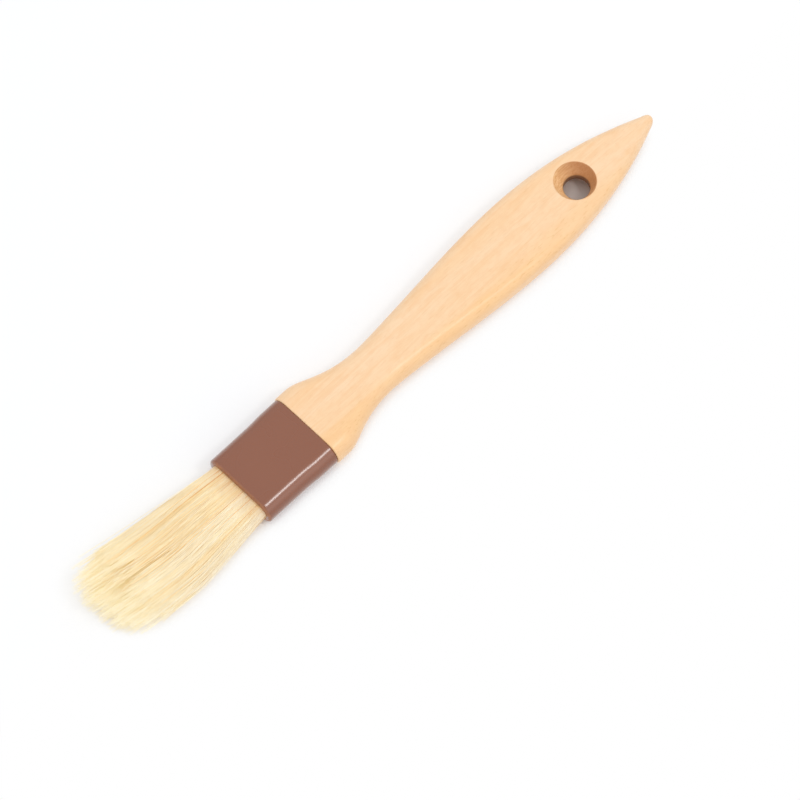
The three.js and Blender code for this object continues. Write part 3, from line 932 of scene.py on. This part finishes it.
# %% How far a hair reaches, and the fan
DOME_ROUNDNESS = 0.97
ONE_LONG_HAIR_IN = 7.0
END_ZONE = 9.5 * MM
END_ZONE_POWER = 0.8
BODY_ZONE = 6 * MM
PACK_ROUNDNESS = 0.6
FAN_INNER_GAP = 0.05 * MM
STRAIGHT_SHARE = 0.7
DRAWN_IN_FROM, DRAWN_IN_TO, DRAWN_IN = 36 * MM, 58 * MM, 0.035
LEAN_FROM, LEAN_LENGTH, LEAN_POWER = 27 * MM, 30 * MM, 1.3
LEVELLING = (-1.5 * MM, 16 * MM)


def hair_reach(tree, root_number, share):
    """The dome of the trim, less what a hair is short of it.

    Only one hair in seven ends in the last zone, so the pack thins out towards its end."""
    dome = 1.0 - (1.0 - share * share * DOME_ROUNDNESS).math("SQRT")
    rank = tree.random(0.0, 1.0, root_number, "length")
    in_end_zone = (rank * ONE_LONG_HAIR_IN) ** END_ZONE_POWER * END_ZONE
    shorter = in_end_zone.math("MINIMUM", rank * BODY_ZONE + END_ZONE)
    return tree.inputs["Trim Length"] - dome * tree.inputs["Dome Rise"] - shorter


def fanned(tree, root, share, run, out):
    """The place across and up as the pack spreads to its fan, is drawn in a touch and leans to one side."""
    take = tree.inputs
    root_y, root_z, height = root
    fan_y = share * take["Fan Half Width"]
    rounded = (1.0 - share * share * PACK_ROUNDNESS).math("SQRT")
    fan_z = tree.mix(height, FAN_INNER_GAP, take["Fan Half Thickness"]) * rounded
    fan_share = (out / take["Fan Reach"]).math("MINIMUM", 1.0)
    curved = (fan_share * (math.pi / 2)).math("SINE")
    spread = fan_share * STRAIGHT_SHARE + curved * (1 - STRAIGHT_SHARE)
    drawn_in = 1.0 - tree.ease(out, DRAWN_IN_FROM, DRAWN_IN_TO) * DRAWN_IN
    leaning = ((out - LEAN_FROM) / LEAN_LENGTH).math("MAXIMUM", 0.0) ** LEAN_POWER
    y = tree.mix(spread, root_y, fan_y) * drawn_in + leaning * take["Lean"]
    z = tree.mix(tree.ease(run, *LEVELLING), root_z, fan_z)
    return y, z


# %% Locks and single hairs
LOCK_PITCH = 0.7 * MM
LAYERS_APART = 17.0
LOCK_STRETCH, LOCK_PULL, LOCK_PULL_UP = (0.1, 0.95), 0.05, 0.8
SWAY_Y, SWAY_Y_SCALE = 0.7 * MM, 0.43
SWAY_Z, SWAY_Z_SCALE = 0.5 * MM, 0.51
ELSEWHERE = (31.0, -7.0)
STRAY_RANKS, STRAY_SLANT = (0.84, 0.98), 1.6
SLANT_Y, SLANT_Z = 1.8 * MM, 0.8 * MM
WAVE_START, WAVE_TURNS = (0.0, 6.28), (5.0, 11.0)
WAVE_Y, WAVE_Z, WAVE_LIFT = 0.16 * MM, 0.10 * MM, 0.3
SPLIT_UP = 0.7


def in_locks(tree, y, z, root, out_share):
    """Hairs lean to the middle of their patch, and patches sway as one. Also says which patch it is."""
    root_y, root_z, _ = root
    layer = tree.inputs["Level"] * LAYERS_APART
    place = tree.join(root_y / LOCK_PITCH, root_z / LOCK_PITCH + layer, 0.0)
    sockets = {"Vector": place, "Scale": 1.0}
    patch = tree.node("ShaderNodeTexVoronoi", {"voronoi_dimensions": "2D"}, sockets, 2)
    patch_y, patch_z, _ = tree.split(patch)
    lean_y = patch_y * LOCK_PITCH - root_y
    lean_z = (patch_z - layer) * LOCK_PITCH - root_z
    pull = tree.ease(out_share, *LOCK_STRETCH) * LOCK_PULL
    y = y + lean_y * pull
    z = z + lean_z * pull * LOCK_PULL_UP
    swapped = tree.join(patch_z + ELSEWHERE[0], patch_y + ELSEWHERE[1], 0.0)
    sway_y = tree.noise(patch, SWAY_Y_SCALE, 1.0) - 0.5
    sway_z = tree.noise(swapped, SWAY_Z_SCALE, 1.0) - 0.5
    lever = out_share * out_share
    return y + sway_y * lever * SWAY_Y, z + sway_z * lever * SWAY_Z, patch


def on_its_own(tree, y, z, root_number, number, out_share, along_bar):
    """A slant and a slow wave of each hair's own, now and then a stray, and split ends going sideways."""
    stray = tree.ease(tree.random(0.0, 1.0, root_number, "stray"), *STRAY_RANKS)
    slant = stray * STRAY_SLANT + 1.0
    lever = out_share * out_share
    y = y + tree.random(-1.0, 1.0, root_number, "slant across") * slant * out_share * SLANT_Y
    z = z + tree.random(-1.0, 1.0, root_number, "slant up") * slant * lever * SLANT_Z
    start = tree.random(*WAVE_START, root_number, "wave start")
    wave = (out_share * tree.random(*WAVE_TURNS, root_number, "wave turns") + start).math("SINE")
    y = y + wave * out_share * WAVE_Y
    z = z + (wave + WAVE_LIFT) * out_share * WAVE_Z
    split = (along_bar * along_bar) * tree.inputs["Split Spread"]
    y = y + tree.random(-1.0, 1.0, number, "split across") * split
    z = z + tree.random(-1.0, 1.0, number, "split up") * split * SPLIT_UP
    return y, z


# %% Hair tree
TAPER_STRETCH, TIP_RADIUS = (0.5, 1.02), 0.35
RADIUS_RANGE = (0.8, 1.2)
TABLE_CLEARANCE = 0.25 * MM
BROAD_SCALE, BROAD_SHOWS, BROAD_SHARE = 0.16, (0.3, 0.7), 0.25
PATCH_SCALE, PATCH_SHOWS, PATCH_SHARE = 0.8, (0.25, 0.75), 0.1
OWN_SHARE = 0.55
TONE_RANGE, LEAST_TONE = 0.85, 0.18
DARK_HAIR_AND_SHADE_RANKS, DARK_HAIR_AND_SHADE_AT_TIP, DARK_HAIR_AND_SHADE_DEPTH = (0.87, 0.92), 0.5, 0.95


def hair_tone(tree, patch, root_number, out_share):
    """A hair's tone from its part of the pack, its patch and itself. About one hair in ten is dark, most
    near the ferrule: partly the odd dark bristle, partly painted shade for the thin shadows between
    bundles.
    """
    broad = tree.ease(tree.noise(patch, BROAD_SCALE, 1.0), *BROAD_SHOWS)
    near = tree.ease(tree.noise(patch, PATCH_SCALE, 2.0), *PATCH_SHOWS)
    own = tree.random(0.0, 1.0, root_number, "tone")
    tone = broad * BROAD_SHARE + near * PATCH_SHARE + own * OWN_SHARE
    # Dark hairs: partly the odd dark bristle, partly painted shade for the thin shadows between bundles.
    dark = tree.ease(tree.random(0.0, 1.0, root_number, "dark"), *DARK_HAIR_AND_SHADE_RANKS)
    dark = dark * tree.mix(out_share, 1.0, DARK_HAIR_AND_SHADE_AT_TIP)
    return (tone * TONE_RANGE + LEAST_TONE) * (1.0 - dark * DARK_HAIR_AND_SHADE_DEPTH)


def hair_tree():
    tree = Growth("bristle_growth", HAIR_INPUTS)
    take = tree.inputs
    hairs = hair_bars(tree)
    number = tree.stored("number")
    root_number = (number / take["Hairs Per Root"]).math("FLOOR")
    bar_y, bar_z, bar_along = tree.split(tree.stored("bar", "FLOAT_VECTOR"))
    along_bar = bar_along + 0.5

    root = root_place(tree, root_number)
    share = root[0] / take["Mouth Half Width"]
    along = tree.mix(along_bar, take["Start Share"], take["End Share"])
    run = tree.mix(along, 0.0 - take["Root Depth"], hair_reach(tree, root_number, share))
    out = run.math("MAXIMUM", 0.0)
    out_share = out / take["Trim Length"]

    y, z = fanned(tree, root, share, run, out)
    y, z, patch = in_locks(tree, y, z, root, out_share)
    y, z = on_its_own(tree, y, z, root_number, number, out_share, along_bar)

    taper = tree.mix(tree.ease(out_share, *TAPER_STRETCH), 1.0, TIP_RADIUS)
    radius = take["Hair Radius"] * taper * tree.random(*RADIUS_RANGE, number, "thickness")
    above_table = (z + bar_z * radius).math("MINIMUM", MIDDLE_Z - TABLE_CLEARANCE)
    place = tree.join(MOUTH_X - run, y + bar_y * radius, above_table * take["Level"] + MIDDLE_Z)
    grown = tree.shape("GeometryNodeSetPosition", hairs, Position=place)

    # What the material reads.
    grown = tree.store(grown, "tone", hair_tone(tree, patch, root_number, out_share))
    grown = tree.store(grown, "along", out_share)
    for name in ("bar", "number"):
        grown = tree.shape("GeometryNodeRemoveAttribute", grown, Name=name)
    grown = tree.shape("GeometryNodeRealizeInstances", grown)
    grown = tree.shape("GeometryNodeSetMaterial", grown, Material=take["Material"])
    tree.end("NodeGroupOutput", grown)
    return tree


HAIR_TREE = hair_tree()
print("%d nodes" % len(HAIR_TREE.nodes.nodes))

# %% [markdown]
# ### Growing the two layers
#
# The pack is an upper and a lower layer, one each side of the filler strip. Each is grown twice with the
# same tree, once for the bristles and once for their split ends, and turned into a plain mesh, because
# what is exported can't hold a modifier's instances.

# %% Grow
HAIRS_IN_A_LAYER = 3700
PACK_CLEARANCE = 0.1 * MM
TRIM_ALLOWANCE = 1.5 * MM
FAN_INSET = 0.5 * MM


def grow(name, level, **changes):
    """One layer of hair or of split ends, as a plain mesh object."""
    settings = {
        "Hair Count": HAIRS_IN_A_LAYER,
        "Hairs Per Root": 1,
        "Level": level,
        "Mouth Half Width": FERRULE_HALF_WIDTH - MOUTH_WALL - PACK_CLEARANCE,
        "Mouth Half Thickness": FERRULE_HALF_THICKNESS - MOUTH_WALL - PACK_CLEARANCE,
        "Filler Half Thickness": 0.75 * MM,
        "Root Depth": 5 * MM,
        "Trim Length": BRISTLE_OUT + TRIM_ALLOWANCE,
        "Dome Rise": 7.5 * MM,
        "Lean": 3.5 * MM,
        "Fan Half Width": bristle_high.y - FAN_INSET,
        "Fan Half Thickness": 4.7 * MM,
        "Fan Reach": 28 * MM,
        "Hair Radius": 0.1 * MM,
        "Start Share": 0.0,
        "End Share": 1.0,
        "Split Spread": 0.0,
        "Steps": 8,
        "Material": BRISTLE,
    }
    settings.update(changes)
    holder = add_object(name + "_holder", bpy.data.meshes.new(name + "_holder"))
    modifier = holder.modifiers.new("growth", "NODES")
    modifier.node_group = HAIR_TREE.nodes
    for title, value in settings.items():
        modifier[HAIR_TREE.identifiers[title]] = value
    depsgraph = bpy.context.evaluated_depsgraph_get()
    mesh = bpy.data.meshes.new_from_object(holder.evaluated_get(depsgraph), depsgraph=depsgraph)
    mesh.name = name
    bpy.data.objects.remove(holder)
    print("%s: %d triangles" % (name, sum(len(face.vertices) - 2 for face in mesh.polygons)))
    return add_object(name, mesh)


SPLIT = {
    "Hairs Per Root": 2,
    "Hair Radius": 0.06 * MM,
    "Start Share": 0.78,
    "End Share": 1.02,
    "Split Spread": 0.7 * MM,
    "Steps": 3,
}
upper_hair = grow("upper_bristle", 1.0)
lower_hair = grow("lower_bristle", -1.0)
upper_split = grow("upper_split_ends", 1.0, **SPLIT)
lower_split = grow("lower_split_ends", -1.0, **SPLIT)

# %% [markdown]
# ## The table and the light
#
# The photograph is a bright product shot: a white table, light from everywhere and one small, strong lamp
# on the right, which draws the thin highlight along the ferrule. A wide softbox overhead brightens the
# upper faces, and reflections don't show it. The room is darker near the horizon, and reflections see its
# right side brighter. The camera sees the open table lifted towards pure white, so the background is white
# without more light on the brush.

# %% Table
WHITE = (1.0, 1.0, 1.0, 1.0)
TABLE_SIDE = 12
TABLE_DROP = 0.02 * MM
CARD = (0.95, 0.96, 0.98)
# Painted shade: the card under the hanging hole is darker and is not lifted to white.
PAINTED_SHADE_UNDER_HOLE = (0.68, 0.63, 0.60)
UNDER_HOLE = (6.5 * MM, 8.5 * MM)
OPEN_SKY_REACH = 12 * MM
OPEN_SKY_SHOWS = (0.3, 0.7)
LESS_WHITE_SIDE, LESS_WHITE = (-5 * MM, 15 * MM), 0.4


def table_material():
    """White card, with painted shade under the hanging hole, where it is darker and not lifted. Seen
    directly, or in a reflection, its open places are lifted towards pure white.
    """
    paint = Paint("white_table")
    sky = paint.node("ShaderNodeAmbientOcclusion", {"samples": 8}, {"Distance": OPEN_SKY_REACH}, 1)
    painted_shade_under_hole = 1.0 - paint.ease(paint.from_hole(), *UNDER_HOLE)
    card = paint.node("ShaderNodeBsdfDiffuse", None, {
        "Color": paint.colours(painted_shade_under_hole, CARD, PAINTED_SHADE_UNDER_HOLE)})
    white = paint.node("ShaderNodeEmission", None, {"Color": WHITE, "Strength": 1.0})
    rays = paint.outputs("ShaderNodeLightPath")
    _, y, _ = paint.split(paint.place)
    whitening = paint.ease(y, *LESS_WHITE_SIDE, 1.0, LESS_WHITE)
    seen = rays["Is Camera Ray"] * paint.ease(sky, *OPEN_SKY_SHOWS) * whitening
    lifted = (seen + rays["Is Glossy Ray"]).math("MINIMUM", 1.0) * (1.0 - painted_shade_under_hole)
    surface = paint.node("ShaderNodeMixShader", None, {0: lifted, 1: card, 2: white})
    paint.end("ShaderNodeOutputMaterial", surface)
    return paint.material


bpy.ops.mesh.primitive_plane_add(size=TABLE_SIDE, location=(0, 0, -TABLE_DROP))
table = bpy.context.object
table.name = "table"
table.data.materials.append(table_material())
print("table of %d m" % TABLE_SIDE)

# %% World
AMBIENT = 0.885
WALL_SHADE = 0.62
WALL_TOP = 0.55
RIGHT_WALL_EDGE = (-0.6, -0.9)
RIGHT_WALL_SHEEN = 1.0


def make_world():
    """A room with shaded walls that light the brush. The camera sees it pure white."""
    world = bpy.data.worlds.new("white_room")
    world.use_nodes = True
    tree = Tree(world.node_tree)
    rays = tree.outputs("ShaderNodeLightPath")
    _, y, rise = tree.split(tree.node("ShaderNodeTexCoord"))
    walls = tree.ease(rise, 0.0, WALL_TOP, WALL_SHADE, 1.0)
    sheen = tree.ease(y, *RIGHT_WALL_EDGE, 1.0, 1.0 + RIGHT_WALL_SHEEN)
    room = walls * tree.mix(rays["Is Glossy Ray"], AMBIENT, sheen)
    seen = (rays["Is Camera Ray"] + rays["Is Transmission Ray"]).math("MINIMUM", 1.0)
    sockets = {"Color": WHITE, "Strength": tree.mix(seen, room, 1.0)}
    tree.end("ShaderNodeOutputWorld", tree.node("ShaderNodeBackground", None, sockets))
    return world


SCENE.world = make_world()
print("world:", SCENE.world.name)


# %% Lamps
def add_lamp(name, direction, distance, side, watts):
    """A square of light that faces the brush, with its first side along the brush."""
    data = bpy.data.lights.new(name, "AREA")
    data.shape = "RECTANGLE"
    data.size = data.size_y = side
    data.energy = watts
    lamp = add_object(name, data)
    aim = Vector(direction).normalized()
    along = Vector((1, 0, 0)) - aim * aim.x
    along.normalize()
    lamp.location = LOOK_AT + aim * distance
    lamp.rotation_euler = Matrix((along, aim.cross(along), aim)).transposed().to_euler()
    print("%s: %.1f W" % (name, watts))
    return lamp


softbox = add_lamp("overhead_softbox", direction=(0.2, 0.3, 0.93), distance=1.4, side=1.0, watts=2.0)
softbox.visible_glossy = False
add_lamp("right_lamp", direction=(0.215, -0.50, 0.83), distance=1.3, side=0.2, watts=2.5)
SCENE.view_settings.view_transform = "Standard"

# %% [markdown]
# ## Putting the looks on the pieces
#
# Each fine surface stands in for the plain piece of the same place, and all ride on the one body of the
# brush, because nothing on it moves. The resin and the filler strip keep their shape and get a finish.

# %% Ride and replace
STANDS_FOR = [
    (handle, "handle", "handle_wood"),
    (ferrule, "ferrule", "ferrule_plastic"),
    (upper_hair, "bristles_upper", "natural_bristle"),
    (upper_split, "bristles_upper", "natural_bristle"),
    (lower_hair, "bristles_lower", "natural_bristle"),
    (lower_split, "bristles_lower", "natural_bristle"),
]
for made, node, slot in STANDS_FOR:
    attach(made, "root")
    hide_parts(node)
for node, material in (("resin_plug", RESIN), ("filler_strip", BARE_WOOD)):
    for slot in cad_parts[node].material_slots:
        slot.material = material
print("%d fine pieces" % len(STANDS_FOR))
